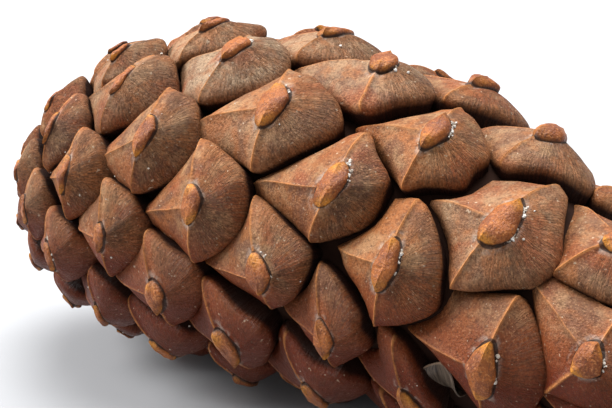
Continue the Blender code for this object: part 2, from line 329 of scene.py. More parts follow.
# Shields whose basal corner lies elsewhere: how far it is moved round the cone and towards
# the tip, and over what angle the outline follows it.
UNEVEN_CORNERS = {-16: (0.0010, -0.0002), -8: (0.0022, -0.0002), 0: (0.0020, -0.0008), 5: (0.0024, -0.0002)}
CORNER_BREADTH = 0.45

# Where corners are looked for, in degrees: right, towards the tip, left and towards the
# stalk, how far these turn nearer the tip of the cone, and how far to each side.
CORNER_ANGLES = np.array([5.0, 118.0, 195.0, -70.0])
CORNER_TURNS = np.array([25.0, 45.0, 25.0, 30.0])
CORNER_SEARCH = 16.0

# Half lengths of knobs, as a share of the way to the shield's side corners, and half
# widths towards the tip and the stalk. Some knobs are shorter than most.
KNOB_LENGTH = 0.35
KNOB_LENGTHS = {-13: 0.32, -5: 0.34, 0: 0.27, 10: 0.31, 31: 0.30}
KNOB_WIDTHS = (0.25, 0.17)

# A border lies at this share of the way to a neighbour nearer the tip or the stalk. It
# bulges towards the tip where the two are near enough to touch.
TIPWARD_SHARE = 0.51
STALKWARD_SHARE = 0.49
TOUCHING_SPAN = 1.42
TOUCHING_FADE = 0.22
BULGE = 0.15

# Step along the axis over which the surface's slope is measured.
SLOPE_STEP = 0.0001


class Cell:
    """The patch of surface that one scale's shield covers, laid out flat round its knob."""

    def __init__(self, number):
        self.number = number
        self.turn, self.arc = scale_place(number)
        along = float(np.interp(self.arc, SPIRAL_ARC, SPIRAL_ALONG))
        self.radius = float(spindle_radius(along))
        self.span = scale_span(number, along)
        self.chance = random.Random(4200 + number)
        self.knob_length = KNOB_LENGTHS.get(number, KNOB_LENGTH) * self.chance.uniform(0.88, 1.12)
        self.knob_girth = 0.70 + 0.30 * part_way(number, -16, -2)
        self.knob_widths = [width * self.knob_girth * self.chance.uniform(0.85, 1.15)
                            for width in KNOB_WIDTHS]
        self.knob_bluntness = self.chance.uniform(1.45, 2.1)
        steps = [step * sign for step in (1, 2, 3, 5, 8, 13, 21) for sign in (1, -1)]
        self.away = np.array([self.to_neighbour(step) for step in steps])
        self.apart = np.hypot(self.away[:, 0], self.away[:, 1])
        share = np.where(np.array(steps) > 0, TIPWARD_SHARE, STALKWARD_SHARE)
        basal_lean = 0.12 + 0.13 * part_way(number, 25, 12)
        self.limit = share * self.apart - basal_lean * self.span * self.away[:, 1] / self.apart
        near = np.clip((TOUCHING_SPAN * self.span - self.apart) / (TOUCHING_FADE * self.span), 0.0, 1.0)
        self.bulge = BULGE * self.away[:, 1] * near
        self.corner_move = np.array(UNEVEN_CORNERS.get(number, (0.0, 0.0)))
        looked_for = CORNER_ANGLES - CORNER_TURNS * part_way(number, 5, 29)
        self.corner_ways = np.array([self.corner_way(middle) for middle in looked_for])
        self.right, self.tip, self.left, self.basal = self.margin(self.corner_ways)

    def to_neighbour(self, step):
        """Flat place of a neighbour's knob."""
        turn, arc = scale_place(self.number + step)
        return wrapped(turn - self.turn) * self.radius, arc - self.arc

    def even_margin(self, angles):
        """Points of the outline in some directions, as the spiral alone gives it."""
        ways = np.stack([np.cos(angles), np.sin(angles)], axis=-1)
        towards_tip = np.maximum(0.0, np.sin(angles))
        sharpness = 40.0 - 31.0 * towards_tip ** 0.5
        ahead = ways @ self.away.T / self.apart
        curve = self.bulge * np.maximum(0.0, 1.0 - ahead ** 2) / (0.5 * self.apart) ** 2
        edge = self.limit + self.bulge
        root = np.sqrt(np.maximum(0.0, ahead ** 2 + 4.0 * curve * edge))
        reach = np.where(ahead > 0.15, ahead + root, 0.0) / (2.0 * edge)
        total = (reach ** sharpness[:, None]).sum(axis=1)
        return ways * (total ** (-1.0 / sharpness))[:, None]

    def margin(self, angles):
        """Points of the outline in some directions."""
        points = self.even_margin(angles)
        from_corner = wrapped(angles - self.corner_ways[3])
        points = points + np.exp(-(from_corner / CORNER_BREADTH) ** 2)[:, None] * self.corner_move
        turn = self.turn + points[:, 0] / self.radius
        return points + uneven_border(turn, self.arc + points[:, 1], self.radius)

    def corner_way(self, middle):
        """Direction of the outline's corner on one side: where it reaches furthest."""
        angles = np.radians(middle + CORNER_SEARCH * np.linspace(-1.0, 1.0, 17))
        points = self.even_margin(angles)
        return angles[np.argmax(np.hypot(points[:, 0], points[:, 1]))]

    def shares(self, points):
        """Split flat places into shares of a side corner and of an end corner."""
        across = np.zeros(len(points))
        up = np.zeros(len(points))
        for side in (self.right, self.left):
            for end, sign in ((self.tip, 1.0), (self.basal, -1.0)):
                area = cross(side, end)
                a = cross(points, end) / area
                u = cross(side, points) / area
                inside = (a > -1e-6) & (u > -1e-6)
                across[inside] = (a if side is self.right else -a)[inside]
                up[inside] = (u * sign)[inside]
        return across, up

    def from_knob(self, across, up):
        """How far places are from the knob's middle, where its outline is at 1."""
        width = np.where(up > 0.0, *self.knob_widths)
        power = self.knob_bluntness
        total = (np.abs(across) / self.knob_length) ** power + (np.abs(up) / width) ** power
        return total ** (1.0 / power)

    def lift(self, points, height):
        """Points of the cone at flat places and heights, where heights are shares of the span."""
        arc = np.clip(self.arc + points[:, 1], SPIRAL_ARC[0], SPIRAL_ARC[-1])
        turn = self.turn + points[:, 0] / self.radius
        height = height * self.span
        along = np.interp(arc, SPIRAL_ARC, SPIRAL_ALONG)
        fall = spindle_radius(along - 0.5 * SLOPE_STEP) - spindle_radius(along + 0.5 * SLOPE_STEP)
        slope = np.arctan2(fall, SLOPE_STEP)
        outer = np.maximum(0.0, spindle_radius(along) + height * np.cos(slope))
        out = np.stack([0.0 * turn, -np.sin(turn), np.cos(turn)], axis=-1)
        return lay_down(axis_points(along + height * np.sin(slope)) + out * outer[:, None])


# How far a shield falls from its middle to its corners, as a share of its span, and how
# high and broad its keel and ridge stand up.
KEEL_FALL = 0.15
BASAL_FALL = 0.21
FIELD_FALL = 0.15
KEEL_RISE = 0.024
RIDGE_RISE = 0.018
CREST_BREADTH = 0.035
CREST_START = 0.3


def shield_height(across, up):
    """Height of a shield, as a share of its span: keel, sloping facets and domed field."""
    basal = -KEEL_FALL * np.abs(across) - BASAL_FALL * np.maximum(0.0, -up) ** 0.88
    reach = np.maximum(1e-6, np.hypot(across, up))
    domed = -KEEL_FALL * across ** 2 / reach - FIELD_FALL * reach ** 1.7 * (np.maximum(0.0, up) / reach) ** 2
    keel = KEEL_RISE * np.exp(-(up / CREST_BREADTH) ** 2) * np.clip(np.abs(across) / CREST_START, 0.0, 1.0)
    ridge = RIDGE_RISE * np.exp(-(across / CREST_BREADTH) ** 2) * np.clip(-up / CREST_START, 0.0, 1.0)
    return np.where(up < 0.0, basal, domed) + keel + ridge


def corner_directions(cell, count):
    """Directions round a shield, closer together near its corners."""
    starts = cell.corner_ways
    angles = []
    for i in range(4):
        sweep = (starts[(i + 1) % 4] - starts[i]) % (2.0 * math.pi)
        shares = [step / count - 0.10 * math.sin(2.0 * math.pi * step / count) for step in range(count)]
        angles += [starts[i] + sweep * share for share in shares]
    return np.array(angles)


# Scales that have opened: how far their edge towards the tip has drawn back, as a share of
# the way to the knob.
OPENED = {3: 0.13, 5: 0.11, 8: 0.04, 10: 0.05, 16: 0.10, 18: 0.05, 21: 0.05, 24: 0.58, 26: 0.05}

# How grey the weather has turned some shields, from 0 to 1.
WEATHERED = {-3: 1.0, -11: 0.6, 2: 0.6, 10: 0.5, 5: 0.25, 0: 0.05, 13: 0.1, 21: 0.05, -8: 0.1}

# Rings of a scale from its middle, as shares of the way to the margin. Those of its edge
# also have a depth below the shield.
FACE_RINGS = [0.10, 0.20, 0.30, 0.40, 0.50, 0.60, 0.69, 0.77, 0.84, 0.90, 0.945, 0.975]
WALL_RINGS = [(0.992, 0.008), (1.0, 0.026), (1.0, 0.060), (0.985, 0.13), (0.95, 0.24), (0.88, 0.46)]
QUARTER = 11
SIDES = 4 * QUARTER
LEVELS = len(FACE_RINGS) + len(WALL_RINGS) + 1

# The gap left round a shield, and how far its lower sides and its basal corner reach over
# the neighbours, as shares of the way to the margin.
GAP = 0.010
SIDE_OVERLAP = 0.070
CORNER_OVERLAP = 0.06


def rings_and_sides(sphere, rings, sides):
    """Ring and side of each vertex of a sphere, counted from its top."""
    ring = np.rint(np.arccos(np.clip(sphere[:, 2], -1.0, 1.0)) * rings / math.pi).astype(int)
    side = np.rint(np.arctan2(sphere[:, 1], sphere[:, 0]) * sides / (2.0 * math.pi)).astype(int)
    return ring, side % sides


bpy.ops.object.select_all(action="DESELECT")
bpy.ops.mesh.primitive_uv_sphere_add(segments=SIDES, ring_count=LEVELS, radius=1.0)
pattern = bpy.context.object
pattern.name = "scale_pattern"
scale_level, scale_side = rings_and_sides(get_points(pattern), LEVELS, SIDES)
RING_SHARE = np.array([0.0] + FACE_RINGS + [share for share, depth in WALL_RINGS] + [0.0])
RING_DEPTH = np.array([0.0] * (1 + len(FACE_RINGS)) + [depth for share, depth in WALL_RINGS] + [0.50])


def set_attribute(piece, name, values):
    """Keep three numbers with each vertex, for the material."""
    attribute = piece.data.attributes.new(name, "FLOAT_VECTOR", "POINT")
    attribute.data.foreach_set("vector", np.asarray(values, dtype=np.float32).ravel())


# Without a seed, vector noise would differ from run to run.
noise.seed_set(1)


def roughen(points, seed, breadth, amount):
    """Push points about a little by a smooth noise of a given breadth."""
    offset = Vector((seed * 1.7, seed * 0.31, seed * 0.77))
    moves = [noise.noise_vector(Vector(point) / breadth + offset) for point in points]
    return points + np.array(moves) * amount


def redness_and_shade(points):
    """How much redder and darker the wood is low on the cone: its own red, with painted shade of the
    underside.
    """
    return np.clip((0.0215 - points[:, 2]) / 0.0100, 0.0, 1.0)


def copy_of(pattern):
    """Copy a pattern and link the copy to the scene."""
    piece = pattern.copy()
    piece.data = pattern.data.copy()
    bpy.context.scene.collection.objects.link(piece)
    return piece


def make_scale(cell):
    """Copy the pattern and shape the copy to one scale."""
    scale = copy_of(pattern)
    angles = corner_directions(cell, QUARTER)[scale_side]
    share = RING_SHARE[scale_level]
    depth = RING_DEPTH[scale_level]
    rim = cell.margin(angles)
    towards_tip = np.sin(angles)
    opened = OPENED.get(cell.number, 0.0) * np.minimum(1.0, 1.6 * np.maximum(0.0, towards_tip))
    gap = GAP + opened - SIDE_OVERLAP * np.clip(-towards_tip * 1.6, 0.0, 1.0)
    gap -= CORNER_OVERLAP * np.clip((-towards_tip - 0.75) / 0.25, 0.0, 1.0)
    ragged = 1.0 + 0.012 * np.array([noise.noise(Vector((math.cos(a) * 2.2, math.sin(a) * 2.2, cell.number)))
                                    for a in angles])
    flat = rim * (share * (1.0 - gap) * ragged)[:, None]
    across, up = cell.shares(flat)
    lift = cell.chance.uniform(-0.02, 0.05)
    height = shield_height(across, up) + lift * up - depth
    height -= 0.030 * np.clip((share - 0.86) / 0.14, 0.0, 1.0) ** 2
    tuck = 0.08 * np.clip(-towards_tip * 1.5, 0.0, 1.0) * np.clip((share - 0.6) / 0.4, 0.0, 1.0) ** 1.5
    points = cell.lift(flat, height - tuck)
    points = roughen(points, cell.number, breadth=0.0042, amount=0.00022)
    points = roughen(points, cell.number + 9, breadth=0.0013, amount=0.00006)
    points[:, 2] = np.maximum(points[:, 2], 0.0)
    set_points(scale, points)
    set_attribute(scale, "shield", np.stack([across, up, depth], axis=-1))
    angle = np.arctan2(up, across)
    reach = np.hypot(across, up)
    set_attribute(scale, "fan", np.stack([np.cos(angle), np.sin(angle), reach], axis=-1))
    grey = WEATHERED.get(cell.number, cell.chance.uniform(0.0, 0.45))
    # Painted shade: places low on the cone, and the lower half of a shield that faces sideways, get a darker
    # red.
    lower_half_shade = np.maximum(0.0, flat[:, 0] * math.sin(cell.turn) / cell.span)
    red = np.clip(redness_and_shade(points) + 1.3 * lower_half_shade * (1.0 - 0.7 * abs(math.cos(cell.turn))), 0.0, 1.0)
    greys = np.full(len(points), grey)
    set_attribute(scale, "tone", np.stack([greys, red, cell.from_knob(across, up)], axis=-1))
    shade = np.full(len(points), cell.chance.uniform(0.0, 1.0))
    set_attribute(scale, "rim", np.stack([share, shade, towards_tip], axis=-1))
    return scale


def join_pieces(pieces, name):
    """Join pieces that grew as one into one object at the origin."""
    bpy.ops.object.select_all(action="DESELECT")
    for piece in pieces:
        piece.select_set(True)
    bpy.context.view_layer.objects.active = pieces[0]
    bpy.ops.object.join()
    whole = bpy.context.object
    whole.name = name
    whole.data.name = name
    bpy.ops.object.mode_set(mode="EDIT")
    bpy.ops.mesh.select_all(action="SELECT")
    bpy.ops.mesh.normals_make_consistent(inside=False)
    bpy.ops.object.mode_set(mode="OBJECT")
    bpy.ops.object.shade_smooth_by_angle(angle=math.radians(38.0))
    return whole


cells = [Cell(number) for number in SCALES]
scales = join_pieces([make_scale(cell) for cell in cells], "scales")
bpy.data.objects.remove(pattern, do_unlink=True)

scale_wood, tree, shader = new_material("scale_wood")
place = add_node(tree, "ShaderNodeTexCoord").outputs["Object"]
shield_parts = parts_of(tree, attribute_of(tree, "shield"))
across_far = combine(tree, "ABSOLUTE", shield_parts["X"], 0.0)
up = shield_parts["Y"]
depth = shield_parts["Z"]
tone_parts = parts_of(tree, attribute_of(tree, "tone"))
grey_tone = tone_parts["X"]
red_and_shade_tone = tone_parts["Y"]
from_knob = tone_parts["Z"]
rim_parts = parts_of(tree, attribute_of(tree, "rim"))
to_rim = rim_parts["X"]
own_shade = rim_parts["Y"]
to_tip = rim_parts["Z"]

mottle = noise_of(tree, place, scale=420.0, detail=4.0, roughness=0.65)
patch = noise_of(tree, place, scale=260.0, roughness=0.55, distortion=0.6)
grain = noise_of(tree, place, scale=1900.0, detail=4.0, roughness=0.7)
speckle = noise_of(tree, place, scale=5200.0, detail=2.0)
fan = attribute_of(tree, "fan")
stretched = add_node(tree, "ShaderNodeMapping", {"Vector": fan, "Scale": (30.0, 30.0, 3.5)}).outputs[0]
streaks = noise_of(tree, stretched, scale=1.0, detail=4.0, roughness=0.7, distortion=0.3)

# Patches of orange and plum brown, and a dark red low on the cone: its own red, with painted shade of the
# underside.
orange = blend_of(tree, own_shade, (0.235, 0.082, 0.024, 1.0), (0.280, 0.095, 0.027, 1.0))
plum = blend_of(tree, own_shade, (0.135, 0.055, 0.027, 1.0), (0.170, 0.066, 0.026, 1.0))
warm = blend_of(tree, ramp_of(tree, patch, 0.42, 0.56), plum, orange)
tan_mottle = ramp_of(tree, mottle, 0.46, 0.66, 0.0, 0.75)
warm = blend_of(tree, tan_mottle, warm, (0.320, 0.172, 0.078, 1.0))
red_patch = ramp_of(tree, patch, 0.36, 0.64)
red = blend_of(tree, red_patch, (0.054, 0.007, 0.003, 1.0), (0.150, 0.021, 0.006, 1.0))
brown_mottle = ramp_of(tree, mottle, 0.50, 0.66, 0.0, 0.3)
red = blend_of(tree, brown_mottle, red, (0.180, 0.066, 0.030, 1.0))
wood = blend_of(tree, red_and_shade_tone, warm, red)

# Grey weathering, warmer rims, a stronger red in some places and low down, and low down a deeper dark red as
# painted shade.
pale_outside_red_shade = ramp_of(tree, red_and_shade_tone, 0.0, 1.0, 1.0, 0.25)
grey_mottle = ramp_of(tree, mottle, 0.38, 0.58, 0.30, 0.90)
grey_patches = combine(tree, "MULTIPLY", grey_tone, grey_mottle)
grey_patches = combine(tree, "MULTIPLY", grey_patches, pale_outside_red_shade)
wood = blend_of(tree, grey_patches, wood, (0.290, 0.200, 0.125, 1.0))
rim_mottle = ramp_of(tree, mottle, 0.38, 0.58, 0.15, 0.6)
rim_warm = combine(tree, "MULTIPLY", ramp_of(tree, to_rim, 0.78, 0.97), rim_mottle)
rim_warm = combine(tree, "MULTIPLY", rim_warm, pale_outside_red_shade)
wood = blend_of(tree, rim_warm, wood, (0.240, 0.080, 0.024, 1.0))
ember_noise = noise_of(tree, place, scale=150.0, roughness=0.55, distortion=0.5)
ember_patches = ramp_of(tree, ember_noise, 0.50, 0.64, 0.0, 0.60)
ember_below = ramp_of(tree, red_and_shade_tone, 0.06, 0.50, 0.0, 0.60)
ember = combine(tree, "MAXIMUM", ember_patches, ember_below)
wood = blend_of(tree, ember, wood, (0.215, 0.044, 0.010, 1.0))
# Painted shade: a near-black red darkens the wood low on the cone.
deep_red_shade = ramp_of(tree, red_and_shade_tone, 0.45, 1.0, 0.0, 0.65)
wood = blend_of(tree, deep_red_shade, wood, (0.085, 0.010, 0.004, 1.0))

# Streaks that fan out from the knob, dark grain, and specks.
field = ramp_of(tree, up, 0.10, 0.45)
streak_amount = combine(tree, "MULTIPLY", field, ramp_of(tree, streaks, 0.45, 0.66, 0.0, 0.40))
streak_amount = combine(tree, "MULTIPLY", streak_amount, pale_outside_red_shade)
wood = blend_of(tree, streak_amount, wood, (0.370, 0.190, 0.090, 1.0))
dark_streaks = ramp_of(tree, streaks, 0.46, 0.32, 0.0, 0.36)
dark_streaks = combine(tree, "MULTIPLY", dark_streaks, ramp_of(tree, to_rim, 0.40, 0.80))
wood = blend_of(tree, dark_streaks, wood, (0.060, 0.024, 0.014, 1.0))
dark_grain = ramp_of(tree, grain, 0.52, 0.64, 0.0, 0.50)
wood = blend_of(tree, dark_grain, wood, (0.062, 0.022, 0.011, 1.0))
dark_specks = ramp_of(tree, speckle, 0.53, 0.66, 0.0, 0.45)
wood = blend_of(tree, dark_specks, wood, (0.060, 0.024, 0.013, 1.0))
light_specks = combine(tree, "MULTIPLY", ramp_of(tree, speckle, 0.45, 0.33, 0.0, 0.38), pale_outside_red_shade)
wood = blend_of(tree, light_specks, wood, (0.440, 0.230, 0.110, 1.0))
flecks = ramp_of(tree, noise_of(tree, place, scale=2300.0, detail=2.0, roughness=0.5), 0.68, 0.74, 0.0, 0.60)
wood = blend_of(tree, flecks, wood, (0.520, 0.400, 0.280, 1.0))

# Paler wood along the keel and the ridge.
keel_wander = combine(tree, "MULTIPLY", combine(tree, "SUBTRACT", mottle, 0.5), 0.05)
from_keel = combine(tree, "ABSOLUTE", combine(tree, "ADD", up, keel_wander), 0.0)
keel_line = ramp_of(tree, from_keel, 0.004, 0.038, 1.0, 0.0)
keel_line = combine(tree, "MULTIPLY", keel_line, ramp_of(tree, across_far, 0.15, 0.40, 0.6, 1.0))
ridge_line = ramp_of(tree, across_far, 0.002, 0.024, 1.0, 0.0)
ridge_line = combine(tree, "MULTIPLY", ridge_line, ramp_of(tree, up, -0.30, -0.10, 0.6, 0.0))
crest = combine(tree, "MAXIMUM", keel_line, ridge_line)
crest = combine(tree, "MULTIPLY", crest, ramp_of(tree, grain, 0.38, 0.62, 0.95, 0.45))
wood = blend_of(tree, crest, wood, (0.460, 0.180, 0.055, 1.0))

# A greyish halo and a dark crack round the knob's foot, and painted shade that darkens the walls down into
# the gaps.
halo_patches = ramp_of(tree, noise_of(tree, place, scale=1100.0), 0.46, 0.60, 0.0, 0.60)
halo = combine(tree, "MULTIPLY", ramp_of(tree, from_knob, 1.02, 1.45, 1.0, 0.0), halo_patches)
wood = blend_of(tree, halo, wood, (0.360, 0.290, 0.240, 1.0))
crack_width = ramp_of(tree, to_tip, -0.5, 0.7, 1.05, 1.16)
crack = ramp_of(tree, combine(tree, "DIVIDE", from_knob, crack_width), 0.96, 1.0, 0.85, 0.0)
wood = blend_of(tree, crack, wood, (0.020, 0.009, 0.006, 1.0))
shadow = ramp_of(tree, depth, 0.004, 0.075, 0.0, 1.0)
wood = blend_of(tree, shadow, wood, (0.022, 0.008, 0.005, 1.0))
tree.links.new(wood, shader.inputs["Base Color"])

# The sheltered side is glossier.
rough = ramp_of(tree, red_and_shade_tone, 0.0, 1.0, 0.54, 0.38)
rough = combine(tree, "ADD", rough, ramp_of(tree, grain, 0.3, 0.7, -0.08, 0.12))
tree.links.new(rough, shader.inputs["Roughness"])
shader.inputs["Specular IOR Level"].default_value = 0.14
streak_relief = combine(tree, "MULTIPLY", streak_amount, 2.4)
relief = combine(tree, "ADD", combine(tree, "MULTIPLY", grain, -0.7), streak_relief)
relief = combine(tree, "ADD", relief, combine(tree, "MULTIPLY", speckle, -0.35))
add_relief(tree, shader, relief, strength=0.85, distance=0.0003)
scales.data.materials.append(scale_wood)
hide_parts("cone")
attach(scales, "root")


# The knobs. In the middle of each shield sits a small raised lozenge, the tip of the
# scale's first year. It is harder and smoother than the shield, orange-brown, with
# amber ends, and a fine crack runs round its foot.

# Rings of a knob from its top: share of the way to its outline, and share of its height.
KNOB_RINGS = [(0.28, 0.97), (0.55, 0.92), (0.76, 0.83), (0.89, 0.68), (0.96, 0.45),
              (0.99, 0.12), (0.98, -0.6)]
KNOB_SIDES = 32
KNOB_LEVELS = len(KNOB_RINGS) + 1

# Heights of knobs, as shares of their shield's span. Some are taller than most.
KNOB_HEIGHT = 0.066
TALL_KNOBS = {10: 0.075, 15: 0.085, 23: 0.095, -11: 0.07, -3: 0.07, 18: 0.085, 21: 0.08, 26: 0.08, 34: 0.085}

bpy.ops.object.select_all(action="DESELECT")
bpy.ops.mesh.primitive_uv_sphere_add(segments=KNOB_SIDES, ring_count=KNOB_LEVELS, radius=1.0)
pattern = bpy.context.object
pattern.name = "knob_pattern"
knob_level, knob_side = rings_and_sides(get_points(pattern), KNOB_LEVELS, KNOB_SIDES)
KNOB_SHARE = np.array([0.0] + [share for share, rise in KNOB_RINGS] + [0.0])
KNOB_RISE = np.array([1.0] + [rise for share, rise in KNOB_RINGS] + [-0.8])


def make_knob(cell):
    """Copy the pattern and shape the copy to one shield's knob."""
    knob = copy_of(pattern)
    angles = corner_directions(cell, KNOB_SIDES // 4)[knob_side]
    rim = cell.margin(angles)
    across, up = cell.shares(rim)
    size = 1.0 / cell.from_knob(across, up)
    share = KNOB_SHARE[knob_level]
    flat = rim * (size * share)[:, None]
    foot = shield_height(across * size, up * size)
    middle = 0.5 * float(foot.mean())
    across, up = cell.shares(flat)
    tall = TALL_KNOBS.get(cell.number, KNOB_HEIGHT * cell.chance.uniform(0.8, 1.2)) * cell.knob_girth
    height = middle + (foot - middle) * share ** 2 + KNOB_RISE[knob_level] * tall
    points = cell.lift(flat, height)
    points = roughen(points, cell.number + 3, breadth=0.0016, amount=0.00022)
    points = roughen(points, cell.number + 5, breadth=0.0006, amount=0.00007)
    points[:, 2] = np.maximum(points[:, 2], 0.0)
    set_points(knob, points)
    to_end = across / cell.knob_length
    set_attribute(knob, "knob", np.stack([to_end, 0.0 * to_end, KNOB_RISE[knob_level]], axis=-1))
    return knob


knobs = join_pieces([make_knob(cell) for cell in cells], "knobs")
bpy.data.objects.remove(pattern, do_unlink=True)

knob_wood, tree, shader = new_material("knob_wood")
place = add_node(tree, "ShaderNodeTexCoord").outputs["Object"]
knob_parts = parts_of(tree, attribute_of(tree, "knob"))
mottle = noise_of(tree, place, scale=600.0, detail=4.0)
grain = noise_of(tree, place, scale=2400.0, detail=4.0, roughness=0.7)
pits = noise_of(tree, place, scale=4600.0, detail=2.0)
brown_mottle = ramp_of(tree, mottle, 0.35, 0.65)
knob_colour = blend_of(tree, brown_mottle, (0.175, 0.045, 0.012, 1.0), (0.340, 0.100, 0.019, 1.0))
amber = ramp_of(tree, combine(tree, "ABSOLUTE", knob_parts["X"], 0.0), 0.38, 0.86)
amber = combine(tree, "MULTIPLY", amber, ramp_of(tree, mottle, 0.40, 0.60, 0.2, 1.0))
amber = combine(tree, "MULTIPLY", amber, 0.85)
knob_colour = blend_of(tree, amber, knob_colour, (0.520, 0.205, 0.020, 1.0))
dark_grain = ramp_of(tree, grain, 0.50, 0.64, 0.0, 0.6)
knob_colour = blend_of(tree, dark_grain, knob_colour, (0.110, 0.035, 0.014, 1.0))
dark_pits = ramp_of(tree, pits, 0.54, 0.66, 0.0, 0.55)
knob_colour = blend_of(tree, dark_pits, knob_colour, (0.100, 0.032, 0.014, 1.0))
light_specks = ramp_of(tree, pits, 0.44, 0.34, 0.0, 0.35)
knob_colour = blend_of(tree, light_specks, knob_colour, (0.600, 0.260, 0.090, 1.0))
dark_foot = ramp_of(tree, knob_parts["Z"], 0.50, 0.05, 0.0, 0.95)
knob_colour = blend_of(tree, dark_foot, knob_colour, (0.030, 0.014, 0.009, 1.0))
tree.links.new(knob_colour, shader.inputs["Base Color"])
tree.links.new(ramp_of(tree, grain, 0.3, 0.7, 0.34, 0.56), shader.inputs["Roughness"])
shader.inputs["Specular IOR Level"].default_value = 0.25
relief = combine(tree, "ADD", grain, combine(tree, "MULTIPLY", pits, 0.6))
add_relief(tree, shader, relief, strength=0.7, distance=0.00022)
knobs.data.materials.append(knob_wood)
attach(knobs, "root")


# The resin crumbs. Resin has bled from the cracks beside some knobs and dried there in
# small whitish crumbs, and a few more are stuck along the shields.

# How many crumbs lie beside each knob, by the scale's number.
RESIN = {26: 34, 21: 26, 18: 26, 34: 7, 13: 12, 29: 4, 10: 4, -3: 6, 5: 3, 8: 4, 47: 6, 39: 5, -26: 4}

bpy.ops.object.select_all(action="DESELECT")
bpy.ops.mesh.primitive_ico_sphere_add(subdivisions=1, radius=1.0)
pattern = bpy.context.object
pattern.name = "crumb_pattern"
crumb_shape = get_points(pattern)


def make_crumb(cell, flat, size):
    """Copy the pattern and set the copy on a shield."""
    crumb = copy_of(pattern)
    across, up = cell.shares(flat[None, :])
    on_shield = cell.lift(flat[None, :], shield_height(across, up) + 0.002)
    stretch = np.array([cell.chance.uniform(0.6, 1.3) for axis in range(3)])
    points = crumb_shape * stretch * size + on_shield
    set_points(crumb, roughen(points, cell.number + size * 1e5, breadth=0.0002, amount=0.3 * size))
    return crumb


def crumbs_by_knob(cell, count):
    """Crumbs heaped in the crack along the knob's side towards the tip."""
    heaps = [cell.chance.uniform(65.0, 155.0) for heap in range(3)]
    crumbs = []
    for step in range(count):
        turn = math.radians(cell.chance.gauss(cell.chance.choice(heaps), 7.0))
        out = abs(cell.chance.gauss(0.0, 0.09)) + 0.96
        across = cell.knob_length * math.cos(turn) * out
        up = cell.knob_widths[0] * math.sin(turn) * out
        side = cell.right if across > 0.0 else cell.left
        flat = side * abs(across) + cell.tip * up
        size = cell.chance.triangular(low=0.00007, high=0.00027, mode=0.00010)
        crumbs.append(make_crumb(cell, flat, size))
    return crumbs


def crumbs_on_shield(cell, count):
    """Odd crumbs anywhere on a shield."""
    crumbs = []
    for step in range(count):
        rim = cell.margin(np.array([cell.chance.uniform(0.0, 2.0 * math.pi)]))[0]
        flat = rim * cell.chance.uniform(0.35, 0.93)
        size = cell.chance.triangular(low=0.00005, high=0.00016, mode=0.00007)
        crumbs.append(make_crumb(cell, flat, size))
    return crumbs


crumbs = []
for cell in cells:
    crumbs += crumbs_by_knob(cell, RESIN.get(cell.number, 0))
    crumbs += crumbs_on_shield(cell, cell.chance.choice((0, 1, 2, 3)))
resin = join_pieces(crumbs, "resin_crumbs")
bpy.data.objects.remove(pattern, do_unlink=True)

resin_white, tree, shader = new_material("resin_white")
place = add_node(tree, "ShaderNodeTexCoord").outputs["Object"]
cloud = noise_of(tree, place, scale=2500.0)
whiteness = ramp_of(tree, cloud, 0.40, 0.62)
resin_colour = blend_of(tree, whiteness, (0.42, 0.34, 0.26, 1.0), (0.74, 0.72, 0.68, 1.0))
tree.links.new(resin_colour, shader.inputs["Base Color"])
tree.links.new(ramp_of(tree, cloud, 0.3, 0.7, 0.30, 0.60), shader.inputs["Roughness"])
add_relief(tree, shader, cloud, strength=0.4, distance=0.00008)
resin.data.materials.append(resin_white)
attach(resin, "root")


# The seed wing. One scale near the tip stands open, and in the hollow behind it shows the
# papery wing of a seed, thin as a leaf, streaked, and still held under the scale.

WING_CELL = 24
WING_LONG = 26
WING_WIDE = 14
WING_HALF_LENGTH = 0.0033
WING_HALF_WIDTH = 0.0017
WING_THICKNESS = 0.00012

bpy.ops.object.select_all(action="DESELECT")
bpy.ops.mesh.primitive_grid_add(x_subdivisions=WING_LONG, y_subdivisions=WING_WIDE, size=2.0)
wing = bpy.context.object
wing.name = "seed_wing"
wing.data.name = "seed_wing"
wing_grid = get_points(wing)
wing_cell = [cell for cell in cells if cell.number == WING_CELL][0]
wing_long = wing_grid[:, 0]
wing_wide = wing_grid[:, 1]
narrowed = 1.0 - 0.35 * np.maximum(0.0, -wing_long) ** 3
wavy = 1.0 + 0.05 * np.sin(wing_long * 7.0)
half_width = WING_HALF_WIDTH * narrowed * wavy
wing_flat = np.stack([
    -0.0015 + WING_HALF_LENGTH * wing_long - 0.0008 * wing_wide * np.maximum(0.0, -wing_long),
    0.0025 + half_width * wing_wide,
], axis=-1)
wing_height = -0.21 - 0.06 * (1.0 - wing_wide ** 2) - 0.26 * np.maximum(0.0, wing_long) ** 2
wing_points = wing_cell.lift(wing_flat, wing_height)
set_points(wing, roughen(wing_points, 12, breadth=0.0016, amount=0.00022))
set_attribute(wing, "wing", np.stack([wing_wide, wing_long, 0.0 * wing_long], axis=-1))
thickness = wing.modifiers.new("thickness", "SOLIDIFY")
thickness.thickness = WING_THICKNESS
bpy.context.view_layer.objects.active = wing
bpy.ops.object.modifier_apply(modifier="thickness")
bpy.ops.object.shade_smooth_by_angle(angle=math.radians(40.0))

